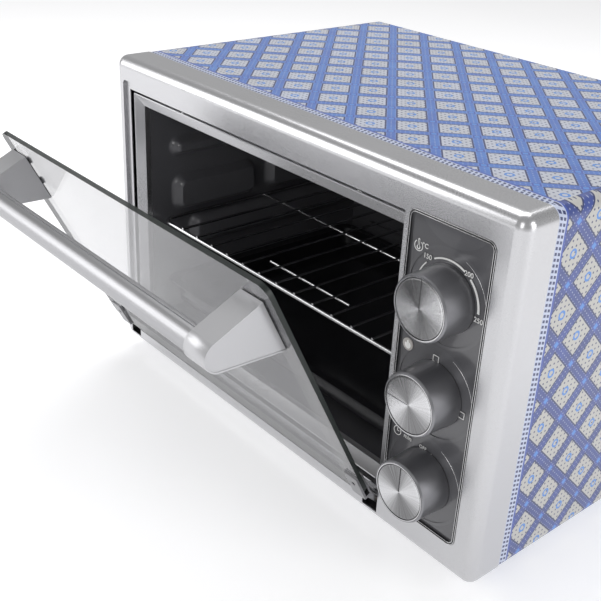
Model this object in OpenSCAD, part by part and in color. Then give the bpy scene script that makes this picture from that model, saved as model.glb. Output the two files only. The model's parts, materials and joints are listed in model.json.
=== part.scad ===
// Countertop toaster oven with a frameless glass door, three rotary dials and a wrapped sheet-metal case.
// Inside the modules, x = 0 is the middle of the case, y = 0 the front face and z = 0 the frame's lower edge.

/* [Case] */
// Width of the case
body_w = 500; // [496:2:600]
// Height of the front frame
body_h = 306; // [305:1:368]
// Depth from the front face to the rear panel
body_d = 345; // [345:1:414]
// Depth of the front frame's side band
band_d = 33; // [28:1:36]
// Radius of the front frame's outer edge
edge_r = 10; // [6:1:11]
// Thickness of the front frame
frame_t = 1.2; // [0.8:0.1:1.4]
// Thickness of the case sheets
sheet = 0.8; // [0.6:0.1:1]
// Height of the feet
foot_h = 14; // [10:1:20]
// Diameter of the feet
foot_d = 34; // [24:1:40]
// How far the rear spacers stand out
spacer_d = 18; // [12:1:40]

/* [Door] */
// Width of the border left of the door
border_left = 13; // [12:1:15]
// Width of the frame right of the door
side_w = 103.5; // [102.5:0.5:106]
// Width of the border above the door
border_top = 22; // [20:1:24]
// Height of the lip below the door
lip_h = 16; // [15:0.5:17]
// Gap round the door glass
door_gap = 2; // [1.5:0.1:2.5]
// Thickness of the glass
glass_t = 4; // [3:0.5:5]
// Corner radius of the glass
glass_r = 10; // [6:1:14]
// How far the door stands open at rest, in degrees
door_rest = 27; // [10:0.5:60]
// Radius of the hinge pins
pin_r = 2; // [1.5:0.25:2.25]
// Radial clearance of a pin or shaft that turns
run_gap = 0.05; // [0.03:0.01:0.08]

/* [Handle] */
// Reach of the handle from the glass to the middle of its bar
handle_reach = 44.5; // [38:0.5:55]
// Radius of the handle bar
bar_r = 10.5; // [8:0.5:11]
// Radius of the bracket's nose
nose_r = 12.5; // [11.5:0.5:14]
// Width of each bracket
bracket_w = 25; // [20:1:32]
// Height of a bracket where it meets the glass
bracket_h = 50; // [44:1:56]
// Distance from the glass top to the bracket top
bracket_drop = 17; // [10:1:30]

/* [Cavity] */
// Depth of the back wall of the cavity
cavity_back_y = 300; // [285:1:305]
// Height of the cavity floor
floor_z = 36; // [32:0.5:37]
// Height of the shelf groove that holds the rack
rack_z = 139; // [133:1:143]
// Height of the shelf groove that holds the tray
tray_z = 75; // [72:1:78]
// How far the embossed ridges stand into the cavity
ridge_d = 10; // [8:0.5:12]
// Radius of the heating rods
rod_r = 3.25; // [2.5:0.25:3.5]

/* [Rack and tray] */
// Radius of the rack's outer wire
rail_r = 1.9; // [1.5:0.1:2.2]
// Radius of the rack's cross wires
wire_r = 1.2; // [1:0.1:1.5]
// Spacing of the rack's cross wires
wire_pitch = 25; // [22:0.5:30]
// Depth of the baking tray
tray_depth = 20; // [14:1:21]

/* [Controls] */
// Distance between dials
dial_pitch = 78; // [76:0.5:80]
// Height of the middle dial
dial_mid_z = 147.5; // [143:0.5:152]
// Radius of a dial's base
dial_r = 26; // [25.5:0.5:28]
// How far a dial's face stands out
dial_h = 26; // [22:0.5:30]
// Radius of a dial's metal cap
cap_r = 22.3; // [20:0.1:22.6]
// Radius of the control shafts
shaft_r = 3; // [2.5:0.25:3.5]

/* [Hidden] */
$fn = 48;

// Case
half_w = body_w / 2;
seat_gap = 0.2;
wrap_inset = 0.6;
wrap_lip = 12;
base_z = wrap_inset + 2 * sheet;
base_x = half_w - edge_r;
rear_lip = 12;
inner_back_y = body_d - sheet;

// Door opening and the stepped recess round it
open_x0 = -half_w + border_left;
open_x1 = half_w - side_w;
open_z1 = body_h - border_top;
step_y = 3;
band_w = 8;
funnel_y = 10.3;
funnel_w = 14.5;
funnel_z0 = lip_h + 16;
mouth_x0 = open_x0 + band_w + funnel_w - 1;
mouth_x1 = open_x1 - 3.5;
mouth_z0 = funnel_z0 + funnel_w;
mouth_z1 = open_z1 - band_w - funnel_w;
channel_y = 14;

// Back
gland_x = half_w - 60;
gland_z = 46;
gland_r = 7;
cord_r = 3.6;
spacer_xs = [-half_w + 90, half_w - 110];
spacer_z = body_h - 90;

// Cavity
cav_x0 = mouth_x0;
cav_x1 = mouth_x1 - 1.5;
cav_mid = (cav_x0 + cav_x1) / 2;
cav_y0 = 16;
rib_zs = [76, 126, 176, 226];
rib_d = 5;
rib_inset = 26;
roof_z = mouth_z1 + 2;
groove_h = 6.5;
ridge_y0 = 38;
ridge_y1 = cavity_back_y - 15;
upper_rod_z = roof_z - 15;
lower_rod_z = floor_z + 10;
rod_ys = [90, 210];
ridge_gap_z = 185;
low_ridge_z = lower_rod_z + 10;

// Rack and tray
rest_gap = 0.1;
side_gap = 2.5;
rack_x0 = cav_x0 + side_gap + rail_r;
rack_x1 = cav_x1 - side_gap - rail_r;
rack_y0 = 26;
rack_y1 = cavity_back_y - 12;
rail_z = rack_z + rest_gap + rail_r;
wire_z = rail_z + rail_r + wire_r - 0.4;
stay_r = rail_r - 0.4;
wire_count = floor((rack_x1 - rack_x0 - 30) / wire_pitch / 2) * 2;
tray_x0 = cav_x0 + side_gap;
tray_x1 = cav_x1 - side_gap;
tray_y0 = 26;
tray_y1 = cavity_back_y - 12;
tray_lip = ridge_d + 1;

// Door, drawn closed and then swung open by door_rest about the hinge line
hinge_y = 4.5;
hinge_z = lip_h + 3;
glass_y1 = -1;
glass_y0 = glass_y1 - glass_t;
glass_x0 = -half_w + 1;
glass_x1 = open_x1 - door_gap;
glass_z0 = hinge_z + 16;
glass_z1 = open_z1 - 1.2;
shoe_w = 15;
shoe_h = 26;
jaw_t = 2;
boss_r = pin_r + 1.8;
bush_out_r = pin_r + 0.9;
notch_z = lip_h - 8;
left_shoe_x = open_x0 + door_gap;
right_shoe_x = open_x1 - door_gap - shoe_w;
pad_t = 1;
bar_y = glass_y0 - pad_t - handle_reach;
bar_z = glass_z1 - bracket_drop - nose_r + 1.2;
seam = 1.2;
bracket_z1 = glass_z1 - bracket_drop;
bracket_z0 = bracket_z1 - bracket_h;
bracket_inset = 10;
right_x1 = glass_x1 - bracket_inset;
right_x0 = right_x1 - bracket_w;
left_x0 = glass_x0 + bracket_inset;
left_x1 = left_x0 + bracket_w;
screw_zs = [bracket_z0 + 14, bracket_z1 - 12];
screw_r = 2;

// Controls
panel_x0 = open_x1 + 3.2;
panel_x1 = half_w - 20.5;
panel_z0 = lip_h + 12;
panel_z1 = open_z1 - 1.7;
panel_r = 7;
trim_w = 2.4;
panel_y = 1.5;
panel_t = 2;
pocket_y = panel_y + panel_t;
dial_x = (panel_x0 + panel_x1) / 2 + 1.2;
dial_zs = [dial_mid_z + dial_pitch, dial_mid_z, dial_mid_z - dial_pitch];
dial_gap = 0.6;
dish_r = 36;
dish_d = 0.7;
bracket_y = 14;
plate_x0 = panel_x0 + 0.5;
plate_x1 = panel_x1 - 6;
bush_r = shaft_r + 2;
shaft_y1 = bracket_y + sheet + 9;
shaft_y0 = -dial_h + 7;
selector_rest = -90;
thermostat_w = 36;
thermostat_d = 30;
selector_d = 27;
timer_d = 34;
timer_tab_drop = 20.5;
tab_pitch = 9;
tab_l = 8;
bulb_y = bracket_y + sheet + 18;
bulb_rise = 6;
bulb_z = dial_zs[0] + bulb_rise;
ridge_top_z = bulb_z - bulb_rise;
lens_x = dial_x - 30;
lens_z = dial_mid_z + dial_pitch - 50;
lens_r = 4;
block_y0 = inner_back_y - 52;
block_top = base_z + 16;
lead_r = 1.2;
lead_bend = 8;

// The whole oven stands on z = 0, centred on its box with the door at rest
nose_y = hinge_y - (bar_z - hinge_z) * sin(door_rest) - (hinge_y - bar_y) * cos(door_rest) - nose_r;
home = [0, -(nose_y + body_d + spacer_d) / 2, foot_h];

// ---------- Shared shapes ----------

// A 2D outline in x and z, given depth from y0 to y1
module along_y(y0, y1) {
    translate([0, y1, 0])
        rotate([90, 0, 0])
            linear_extrude(y1 - y0)
                children();
}

// A 2D outline in y and z, given width from x0 to x1
module along_x(x0, x1) {
    translate([x0, 0, 0])
        rotate([90, 0, 90])
            linear_extrude(x1 - x0)
                children();
}

// A block from one corner to the other
module block(low, high) {
    translate(low)
        cube(high - low);
}

// A rounded rectangle
module rounded(x0, x1, z0, z1, r) {
    translate([x0 + r, z0])
        square([x1 - x0 - 2 * r, z1 - z0]);
    translate([x0, z0 + r])
        square([x1 - x0, z1 - z0 - 2 * r]);
    for (x = [x0 + r, x1 - r])
        for (z = [z0 + r, z1 - r])
            translate([x, z])
                circle(r);
}

// A rounded rectangle's rim, w wide, inside the given outline
module rim(x0, x1, z0, z1, r, w) {
    difference() {
        rounded(x0, x1, z0, z1, r);
        rounded(x0 + w, x1 - w, z0 + w, z1 - w, max(r - w, 0.4));
    }
}

// Cylinders along each axis
module rod_x(x0, x1, y, z, r) {
    translate([x0, y, z])
        rotate([0, 90, 0])
            cylinder(x1 - x0, r = r);
}
module rod_y(x, y0, y1, z, r) {
    translate([x, y0, z])
        rotate([-90, 0, 0])
            cylinder(y1 - y0, r = r);
}

// A block with all its front edges rounded by r
module soft_front(x0, x1, z0, z1, r, y0, y1) {
    block([x0 + r, y0, z0 + r], [x1 - r, y1, z1 - r]);
    along_y(y0 + r, y1)
        rounded(x0, x1, z0, z1, r);
    for (z = [z0 + r, z1 - r])
        rod_x(x0 + r, x1 - r, y0 + r, z, r);
    for (x = [x0 + r, x1 - r])
        translate([x, y0 + r, z0 + r])
            cylinder(z1 - z0 - 2 * r, r = r);
    for (x = [x0 + r, x1 - r])
        for (z = [z0 + r, z1 - r])
            translate([x, y0 + r, z])
                sphere(r);
}

// A screw with a low domed head facing along -y, its shank running to y1
module screw_y(x, z, head_y, y1, r, head_r) {
    translate([x, head_y, z])
        rotate([90, 0, 0])
            rotate_extrude()
                intersection() {
                    translate([0, head_r * 0.4 - head_r * 1.45])
                        circle(head_r * 1.45);
                    square([head_r, head_r]);
                }
    rod_y(x, head_y, y1, z, r);
}

// ---------- Case ----------

module funnel_space(grow) {
    hull() {
        along_y(step_y - 0.01, step_y)
            square_span(open_x0 + band_w - grow, open_x1 + 30, funnel_z0 - grow, open_z1 - band_w + grow);
        along_y(funnel_y, funnel_y + 0.01)
            square_span(mouth_x0 - grow, open_x1 + 30, mouth_z0 - grow, mouth_z1 + grow);
    }
}

module square_span(x0, x1, z0, z1) {
    translate([x0, z0])
        square([x1 - x0, z1 - z0]);
}

module front_frame() {
    color("silver")
    difference() {
        union() {
            difference() {
                soft_front(-half_w, half_w, 0, body_h, edge_r, 0, band_d);
                soft_front(-half_w + frame_t, half_w - frame_t, frame_t, body_h - frame_t, edge_r - frame_t,
                    frame_t, band_d + 1);
            }
            // Walls of the door recess and of the channel under the door
            along_y(0.2, step_y + frame_t)
                rim(open_x0 - frame_t, open_x1 + frame_t, lip_h - frame_t, open_z1 + frame_t, 5,
                    frame_t + band_w);
            along_y(0.2, channel_y + frame_t)
                square_span(open_x0 - frame_t, open_x1 + frame_t, lip_h - frame_t, funnel_z0);
            // Slanted funnel, its bead and the collar that joins the cavity
            difference() {
                funnel_space(frame_t);
                funnel_space(0);
                block([mouth_x1 + frame_t, -1, 0], [half_w, band_d, body_h]);
            }
            along_y(step_y, cav_y0)
                square_span(mouth_x1, open_x1 + frame_t, lip_h, open_z1);
            along_y(funnel_y, cav_y0)
                difference() {
                    square_span(mouth_x0 - frame_t, mouth_x1 + frame_t, mouth_z0 - frame_t,
                        mouth_z1 + frame_t);
                    square_span(mouth_x0, mouth_x1, mouth_z0, mouth_z1);
                }
            along_y(cav_y0 - frame_t, cav_y0)
                difference() {
                    square_span(mouth_x0 - 12, open_x1 + frame_t, floor_z - 4, mouth_z1 + 9);
                    square_span(mouth_x0, mouth_x1, mouth_z0, mouth_z1);
                }
            // Tray that holds the control panel
            along_y(0.2, pocket_y + frame_t)
                rounded(panel_x0 - 1.6, panel_x1 + frame_t, panel_z0 - frame_t, panel_z1 + frame_t, panel_r);
        }
        // Opening through the face, with the channel and the slots that clear the hinge shoes
        along_y(-1, step_y)
            rounded(open_x0, open_x1, lip_h, open_z1, 4);
        along_y(-1, step_y + frame_t + 1)
            square_span(open_x0 + band_w, mouth_x1, funnel_z0, open_z1 - band_w);
        along_y(-1, channel_y)
            square_span(open_x0, open_x1, lip_h, funnel_z0 - frame_t);
        for (x = [open_x0, open_x1 - shoe_w - door_gap])
            along_y(-1, channel_y)
                square_span(x, x + shoe_w + door_gap, notch_z, lip_h + 1);
        // Bores for the hinge bushes
        for (x = [open_x0 - frame_t - 1, open_x1 - 1])
            rod_x(x, x + frame_t + 2, hinge_y, hinge_z, bush_out_r + 0.05);
        for (p = cavity_screw_spots())
            rod_y(p[0], cav_y0 - frame_t - 1, cav_y0 + 1, p[1], 1.65);
        // Seat of the control panel and its holes
        along_y(-1, pocket_y)
            rounded(panel_x0, panel_x1, panel_z0, panel_z1, panel_r);
        for (z = dial_zs)
            rod_y(dial_x, 0, band_d, z, bush_r + 3);
        rod_y(lens_x, 0, band_d, lens_z, lens_r + 1);
    }
}

module outer_wrapper() {
    color([0.25, 0.4, 0.8])
    along_y(band_d + seat_gap, body_d)
        difference() {
            rounded(-half_w + wrap_inset, half_w - wrap_inset, wrap_inset, body_h - wrap_inset,
                edge_r - wrap_inset);
            rounded(-half_w + wrap_inset + sheet, half_w - wrap_inset - sheet, wrap_inset + sheet,
                body_h - wrap_inset - sheet, edge_r - wrap_inset - sheet);
            square_span(-half_w + edge_r + wrap_lip, half_w - edge_r - wrap_lip, 0, base_z);
        }
}

module base_plate() {
    color("gainsboro")
    difference() {
        union() {
            block([-base_x, cav_y0 + 1, base_z - sheet], [base_x, inner_back_y - seat_gap, base_z]);
            for (x = [-base_x, base_x - sheet])
                block([x, cav_y0 + 1, base_z - sheet], [x + sheet, inner_back_y - rear_lip - 1, base_z + 10]);
        }
        for (p = foot_spots())
            translate([p[0], p[1], -1])
                cylinder(base_z + 2, r = 2.3);
        for (i = [-6 : 6])
            block([i * 22 - 5 + cav_mid, 130, -1], [i * 22 + 5 + cav_mid, 136, base_z + 1]);
    }
}

function foot_spots() = [
    for (x = [-half_w + 42, half_w - 42])
        for (y = [62, body_d - 40])
            [x, y]
];

module feet() {
    color("dimgray")
    for (p = foot_spots())
        translate([p[0], p[1], -foot_h])
            difference() {
                rotate_extrude()
                    polygon([
                        [0, 0], [foot_d / 2 - 3.5, 0], [foot_d / 2 - 2, 1.5],
                        [foot_d / 2, foot_h + base_z - sheet - 1], [foot_d / 2, foot_h + base_z - sheet],
                        [0, foot_h + base_z - sheet]
                    ]);
                translate([0, 0, -1])
                    cylinder(5.5, r = 6);
                cylinder(foot_h + base_z + 1, r = 2.3);
            }
}

module foot_screws() {
    color("silver")
    for (p = foot_spots())
        translate([p[0], p[1], -foot_h]) {
            translate([0, 0, 2.2])
                cylinder(2.2, r = 4);
            cylinder(foot_h + base_z + 4, r = 2.2);
        }
}

module rear_panel() {
    color("lightgray")
    difference() {
        union() {
            along_y(inner_back_y, body_d)
                rounded(-half_w + 1.8, half_w - 1.8, base_z, body_h - 1.8, edge_r - 2.5);
            along_y(inner_back_y - rear_lip, inner_back_y)
                difference() {
                    rounded(-half_w + 2, half_w - 2, base_z + seat_gap, body_h - 2, edge_r - 2.6);
                    rounded(-half_w + 2 + sheet, half_w - 2 - sheet, base_z + sheet, body_h - 2 - sheet,
                        edge_r - 3);
                }
        }
        vent_rows(inner_back_y - 1, body_d + 1);
        rod_y(gland_x, inner_back_y - 1, body_d + 1, gland_z, gland_r);
        for (p = case_screw_spots())
            rod_y(p[0], inner_back_y - 1, body_d + 1, p[1], 1.8);
        for (x = spacer_xs)
            rod_y(x, inner_back_y - 1, body_d + 1, spacer_z, 1.8);
    }
}

// Louvre slots behind the cavity's top and behind the controls
module vent_rows(y0, y1) {
    for (i = [0 : 11])
        for (z = [body_h - 42, body_h - 60])
            along_y(y0, y1)
                rounded(-half_w + 60 + i * 22, -half_w + 74 + i * 22, z, z + 5, 2.4);
    for (i = [0 : 7])
        along_y(y0, y1)
            rounded(half_w - 88, half_w - 38, 120 + i * 16, 126 + i * 16, 2.9);
}

function case_screw_spots() = concat(
    [for (x = [-half_w + 24, -half_w * 0.36, half_w * 0.36, half_w - 24]) [x, body_h - 11]],
    [for (x = [-half_w + 24, -half_w * 0.36, half_w * 0.36, half_w - 24]) [x, base_z + 10]],
    [for (x = [-half_w + 11, half_w - 11]) [x, body_h / 2]]
);

module case_screws() {
    color("silver")
    for (p = case_screw_spots())
        translate([0, 2 * body_d, 0])
            mirror([0, 1, 0])
                screw_y(p[0], p[1], body_d, body_d + 6, 1.6, 3.6);
}

module rear_spacers() {
    color("black")
    for (x = spacer_xs) {
        difference() {
            along_y(body_d, body_d + spacer_d)
                rounded(x - 14, x + 14, spacer_z - 14, spacer_z + 14, 6);
            along_y(body_d + 3, body_d + spacer_d + 1)
                rounded(x - 11, x + 11, spacer_z - 11, spacer_z + 11, 4);
        }
        rod_y(x, body_d - 5, body_d + 3, spacer_z, 1.6);
    }
}

// ---------- Cavity ----------

// One embossed ridge, drawn on the left wall, hollow behind
module ridge(y0, y1, z0, z1, grow) {
    r = min((z1 - z0) / 2 - 0.1, 12);
    along_x(cav_x0 - grow, cav_x0 + ridge_d - grow)
        rounded(y0 + grow, y1 - grow, z0 + grow, z1 - grow, r - grow);
}

// The front and back ends and the heights of every ridge on a side wall
ridges = [
    [ridge_y0, ridge_y1, ridge_gap_z + 20, ridge_top_z],
    [ridge_y0 + 2, 145, rack_z + groove_h, ridge_gap_z],
    [160, ridge_y1, rack_z + groove_h, ridge_gap_z],
    [ridge_y0 + 22, ridge_y1, tray_z + 28, rack_z],
    [ridge_y0 + 22, ridge_y1, low_ridge_z, tray_z]
];

module side_wall() {
    difference() {
        union() {
            block([cav_x0 - sheet, cav_y0, floor_z - sheet], [cav_x0, cavity_back_y, roof_z + sheet]);
            for (r = ridges)
                ridge(r[0], r[1], r[2], r[3], 0);
        }
        for (r = ridges)
            ridge(r[0], r[1], r[2], r[3], sheet);
        for (y = rod_ys)
            for (z = [upper_rod_z, lower_rod_z])
                rod_x(cav_x0 - 2, cav_x0 + 2, y, z, rod_r + 2);
    }
}

module cavity_left_wall() {
    color("dimgray")
        side_wall();
}

module cavity_right_wall() {
    color("dimgray")
    difference() {
        translate([2 * cav_mid, 0, 0])
            mirror([1, 0, 0])
                side_wall();
        rod_x(cav_x1 - 2, cav_x1 + 2, bulb_y, bulb_z, 2);
    }
}

module cavity_roof() {
    color("dimgray")
    difference() {
        block([cav_x0, cav_y0, roof_z], [cav_x1, cavity_back_y, roof_z + sheet]);
        along_y(cavity_back_y - 60, cavity_back_y - 57)
            for (i = [-3 : 3])
                square_span(cav_mid + i * 40 - 12, cav_mid + i * 40 + 12, roof_z - 1, roof_z + 2);
    }
}

module cavity_floor() {
    color("dimgray") {
        block([cav_x0, cav_y0, floor_z - sheet], [cav_x1, cavity_back_y, floor_z]);
        for (i = [-1 : 1])
            block([cav_mid + i * 100 - 30, 130, floor_z], [cav_mid + i * 100 + 30, 170, floor_z + 1.5]);
    }
}

module cavity_back() {
    color("dimgray")
    difference() {
        union() {
            along_y(cavity_back_y, cavity_back_y + sheet)
                square_span(cav_x0 - 8, cav_x1 + 8, floor_z - 8, roof_z + 8);
            along_y(cavity_back_y - rib_d, cavity_back_y)
                for (z = rib_zs)
                    rounded(cav_x0 + rib_inset, cav_x1 - rib_inset, z - 10, z + 10, 9.9);
        }
        along_y(cavity_back_y - rib_d + sheet, cavity_back_y + sheet + 1)
            for (z = rib_zs)
                rounded(cav_x0 + rib_inset + sheet, cav_x1 - rib_inset - sheet, z - 10 + sheet,
                    z + 10 - sheet, 9);
    }
}

// Screws through the collar into the cavity, seen from the front
module cavity_screws() {
    color("silver")
    for (p = cavity_screw_spots())
        screw_y(p[0], p[1], cav_y0 - frame_t - 0.05, cav_y0 + 5, 1.6, 3.4);
}

function cavity_screw_spots() = [
    for (x = [cav_mid - 120, cav_mid + 120])
        [x, mouth_z1 + 5]
];

module hinge_bushes() {
    color("goldenrod")
    for (side = [0, 1])
        translate([side * (open_x0 + open_x1), 0, 0])
            mirror([side, 0, 0])
                difference() {
                    union() {
                        rod_x(open_x0 - 5, open_x0 - 0.01, hinge_y, hinge_z, bush_out_r);
                        rod_x(open_x0 - 5, open_x0 - frame_t - 0.02, hinge_y, hinge_z, bush_out_r + 0.3);
                    }
                    rod_x(open_x0 - 6, open_x0 + 1, hinge_y, hinge_z, pin_r + run_gap);
                }
}

// ---------- Heating ----------

module heating_rods(z) {
    color("darkgray")
    for (y = rod_ys) {
        rod_x(cav_x0 - 14, cav_x1 + 14, y, z, rod_r);
        for (x = [cav_x0 - 24, cav_x1 + 14])
            rod_x(x, x + 10, y, z, 1.5);
    }
}

module upper_heating_rods() {
    heating_rods(upper_rod_z);
}

module lower_heating_rods() {
    heating_rods(lower_rod_z);
}

module rod_insulators() {
    color("ivory")
    for (side = [0, 1])
        translate([side * 2 * cav_mid, 0, 0])
            mirror([side, 0, 0])
                for (y = rod_ys)
                    for (z = [upper_rod_z, lower_rod_z])
                        difference() {
                            union() {
                                rod_x(cav_x0 - 7, cav_x0, y, z, rod_r + 1.9);
                                rod_x(cav_x0 + 0.02, cav_x0 + 3, y, z, rod_r + 4.2);
                            }
                            rod_x(cav_x0 - 8, cav_x0 + 4, y, z, rod_r + run_gap);
                        }
}

// ---------- Rack and tray ----------

module wire_rack() {
    color("silver") {
        corner_r = 12;
        for (y = [rack_y0, rack_y1])
            rod_x(rack_x0 + corner_r, rack_x1 - corner_r, y, rail_z, rail_r);
        for (x = [rack_x0, rack_x1])
            rod_y(x, rack_y0 + corner_r, rack_y1 - corner_r, rail_z, rail_r);
        for (sx = [0, 1])
            for (sy = [0, 1])
                translate([sx * 2 * cav_mid, sy * (rack_y0 + rack_y1), rail_z])
                    mirror([sx, 0, 0])
                        mirror([0, sy, 0])
                            translate([rack_x0 + corner_r, rack_y0 + corner_r, 0])
                                rotate([0, 0, 180])
                                    rotate_extrude(angle = 90)
                                        translate([corner_r, 0])
                                            circle(rail_r);
        for (i = [0 : wire_count - 1])
            rod_y(cav_mid + (i - (wire_count - 1) / 2) * wire_pitch, rack_y0 - 1, rack_y1 + 1,
                wire_z, wire_r);
        rod_x(cav_mid - wire_pitch * 1.2, cav_mid + wire_pitch * 3.2, rack_y0 + 27,
            wire_z - 2 * wire_r + 0.4, wire_r);
        rod_x(rack_x0, rack_x1, (rack_y0 + rack_y1) / 2, wire_z - wire_r - stay_r + 0.4, stay_r);
    }
}

module baking_tray() {
    color([0.12, 0.12, 0.13]) {
        rim_z = tray_z + rest_gap;
        difference() {
            translate([0, 0, rim_z])
                linear_extrude(1.6)
                    rounded(tray_x0, tray_x1, tray_y0, tray_y1, 16);
            translate([0, 0, rim_z - 1])
                linear_extrude(4)
                    rounded(tray_x0 + tray_lip, tray_x1 - tray_lip, tray_y0 + 8, tray_y1 - 8, 12);
        }
        difference() {
            translate([0, 0, rim_z + 1.6 - tray_depth])
                linear_extrude(tray_depth - 0.5)
                    rounded(tray_x0 + tray_lip - 1, tray_x1 - tray_lip + 1, tray_y0 + 7, tray_y1 - 7, 13);
            translate([0, 0, rim_z + 1.6 - tray_depth + 1])
                linear_extrude(tray_depth)
                    rounded(tray_x0 + tray_lip, tray_x1 - tray_lip, tray_y0 + 8, tray_y1 - 8, 12);
        }
    }
}

// ---------- Controls behind and on the panel ----------

module control_panel() {
    color([0.3, 0.3, 0.32])
    difference() {
        along_y(panel_y, pocket_y)
            rounded(panel_x0 + seat_gap, panel_x1 - seat_gap, panel_z0 + seat_gap, panel_z1 - seat_gap,
                panel_r - seat_gap);
        for (z = dial_zs) {
            rod_y(dial_x, 0, panel_y + dish_d, z, dish_r);
            rod_y(dial_x, 0, pocket_y + 1, z, shaft_r + 1.5);
        }
        rod_y(lens_x, 0, pocket_y + 1, lens_z, lens_r + 0.1);
    }
}

// Ribbed rim round the control panel
module panel_trim() {
    color([0.2, 0.2, 0.22])
    difference() {
        along_y(-0.5, panel_y)
            rim(panel_x0 + seat_gap, panel_x1 - seat_gap, panel_z0 + seat_gap, panel_z1 - seat_gap,
                panel_r - seat_gap, trim_w);
        along_y(-1, 0.1)
            rim(panel_x0 + seat_gap + 0.8, panel_x1 - seat_gap - 0.8, panel_z0 + seat_gap + 0.8,
                panel_z1 - seat_gap - 0.8, panel_r - seat_gap - 0.8, 0.8);
    }
}

module component_bracket() {
    color("lightgray")
    difference() {
        union() {
            block([plate_x0, bracket_y, panel_z0 + 8], [plate_x1, bracket_y + sheet, panel_z1 - 20]);
            for (x = [plate_x0, plate_x1 - sheet])
                block([x, pocket_y + frame_t, panel_z0 + 8], [x + sheet, bracket_y, panel_z1 - 20]);
        }
        for (z = dial_zs)
            rod_y(dial_x, bracket_y - 1, bracket_y + 2, z, bush_r + 0.1);
        rod_y(lens_x, bracket_y - 1, bracket_y + 2, lens_z, lens_r);
    }
}

// A switch housing with its bushing in front and a row of tabs behind
module switch_body(z, w, h, d, tabs, tab_drop) {
    y0 = bracket_y + sheet;
    difference() {
        union() {
            block([dial_x - w / 2, y0, z - h / 2], [dial_x + w / 2, y0 + d, z + h / 2]);
            rod_y(dial_x, y0 - 7, y0, z, bush_r);
            for (i = [0 : tabs - 1])
                translate([dial_x + (i - (tabs - 1) / 2) * tab_pitch, 0, z - tab_drop])
                    block([-3, y0 + d, -0.4], [3, y0 + d + tab_l, 0.4]);
        }
        rod_y(dial_x, y0 - 8, shaft_y1 + 0.5, z, shaft_r + run_gap);
    }
}

module thermostat_body() {
    color("saddlebrown")
        switch_body(dial_zs[0], thermostat_w, 32, thermostat_d, 2, 0);
}

// Capillary and sensing bulb of the thermostat
module thermostat_bulb() {
    color("peru") {
        rod_x(cav_x1 - 5, dial_x - thermostat_w / 2, bulb_y, bulb_z, 1);
        translate([cav_x1 - 5, bulb_y, bulb_z])
            sphere(1);
        rod_y(cav_x1 - 5, bulb_y, bulb_y + 16, bulb_z, 1);
        rod_y(cav_x1 - 5, bulb_y + 15, bulb_y + 90, bulb_z, 3);
    }
}

module selector_switch() {
    color("ivory")
        switch_body(dial_zs[1], 40, 34, selector_d, 4, 0);
}

module timer_body() {
    color("gainsboro")
        switch_body(dial_zs[2], 48, 46, timer_d, 2, timer_tab_drop);
}

module timer_bell() {
    color("silver")
        translate([dial_x, bracket_y + sheet + timer_d + 9, dial_zs[2]])
            rotate([-90, 0, 0])
                rotate_extrude()
                    polygon([
                        [0, -9], [1.6, -9], [1.6, 6], [17, 3], [18, -1], [19, -1], [18, 4], [2, 8], [0, 8]
                    ]);
}

module indicator_lens() {
    color([1, 0.6, 0.3, 0.7]) {
        rod_y(lens_x, panel_y - 0.6, pocket_y + 4, lens_z, lens_r);
        rod_y(lens_x, panel_y - 0.8, panel_y - 0.02, lens_z, lens_r + 1);
    }
}

module indicator_lamp() {
    color("orangered") {
        rod_y(lens_x, pocket_y + 4, pocket_y + 14, lens_z, 2.6);
        translate([lens_x, pocket_y + 14, lens_z])
            sphere(2.6);
    }
}

module terminal_block() {
    color("ivory")
    difference() {
        block([dial_x - 22, block_y0, base_z], [dial_x + 14, block_y0 + 14, block_top]);
        for (i = [-1 : 1])
            rod_y(dial_x - 4 + i * 11, block_y0 - 1, block_y0 + 15, base_z + 9, 2.6);
    }
}

// A wire up from the terminal block and forward to the tab of a switch
module wire_to(x, z, y0) {
    y1 = block_y0 + 7;
    translate([x, y1, block_top + 0.02])
        cylinder(z - lead_bend - block_top - 0.02, r = lead_r);
    translate([x, y1 - lead_bend, z - lead_bend])
        rotate([90, 0, 90])
            rotate_extrude(angle = 90)
                translate([lead_bend, 0])
                    circle(lead_r);
    rod_y(x, y0, y1 - lead_bend, z, lead_r);
}

module control_wiring() {
    color("firebrick") {
        back_y = bracket_y + sheet + tab_l + 0.02;
        wire_to(dial_x + tab_pitch / 2, dial_zs[0], back_y + thermostat_d);
        wire_to(dial_x - tab_pitch * 1.5, dial_zs[1], back_y + selector_d);
        wire_to(dial_x - tab_pitch / 2, dial_zs[2] - timer_tab_drop, back_y + timer_d);
    }
}

module cord_gland() {
    color("black")
    difference() {
        union() {
            rod_y(gland_x, inner_back_y - 6, body_d + 9, gland_z, gland_r - 0.1);
            rod_y(gland_x, body_d, body_d + 3, gland_z, gland_r + 3);
            rod_y(gland_x, inner_back_y - 6, inner_back_y - 0.05, gland_z, gland_r + 1.5);
        }
        rod_y(gland_x, inner_back_y - 7, body_d + 10, gland_z, cord_r);
    }
}

// ---------- Door ----------

// Everything on the door is drawn closed, and this swings it open about the hinge line
module on_door() {
    translate([0, hinge_y, hinge_z])
        rotate([door_rest, 0, 0])
            translate([0, -hinge_y, -hinge_z])
                children();
}

module door_glass() {
    color([0.75, 0.85, 0.82, 0.4])
    on_door()
        difference() {
            along_y(glass_y0, glass_y1)
                rounded(glass_x0, glass_x1, glass_z0, glass_z1, glass_r);
            for (x = bracket_mids())
                for (z = screw_zs)
                    rod_y(x, glass_y0 - 1, glass_y1 + 1, z, screw_r + 1.2);
            for (x = shoe_mids())
                rod_y(x, glass_y0 - 1, glass_y1 + 1, glass_z0 + shoe_h / 2 + 2, 3);
        }
}

function bracket_mids() = [(left_x0 + left_x1) / 2, (right_x0 + right_x1) / 2];
function shoe_mids() = [left_shoe_x + shoe_w / 2, right_shoe_x + shoe_w / 2];

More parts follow.
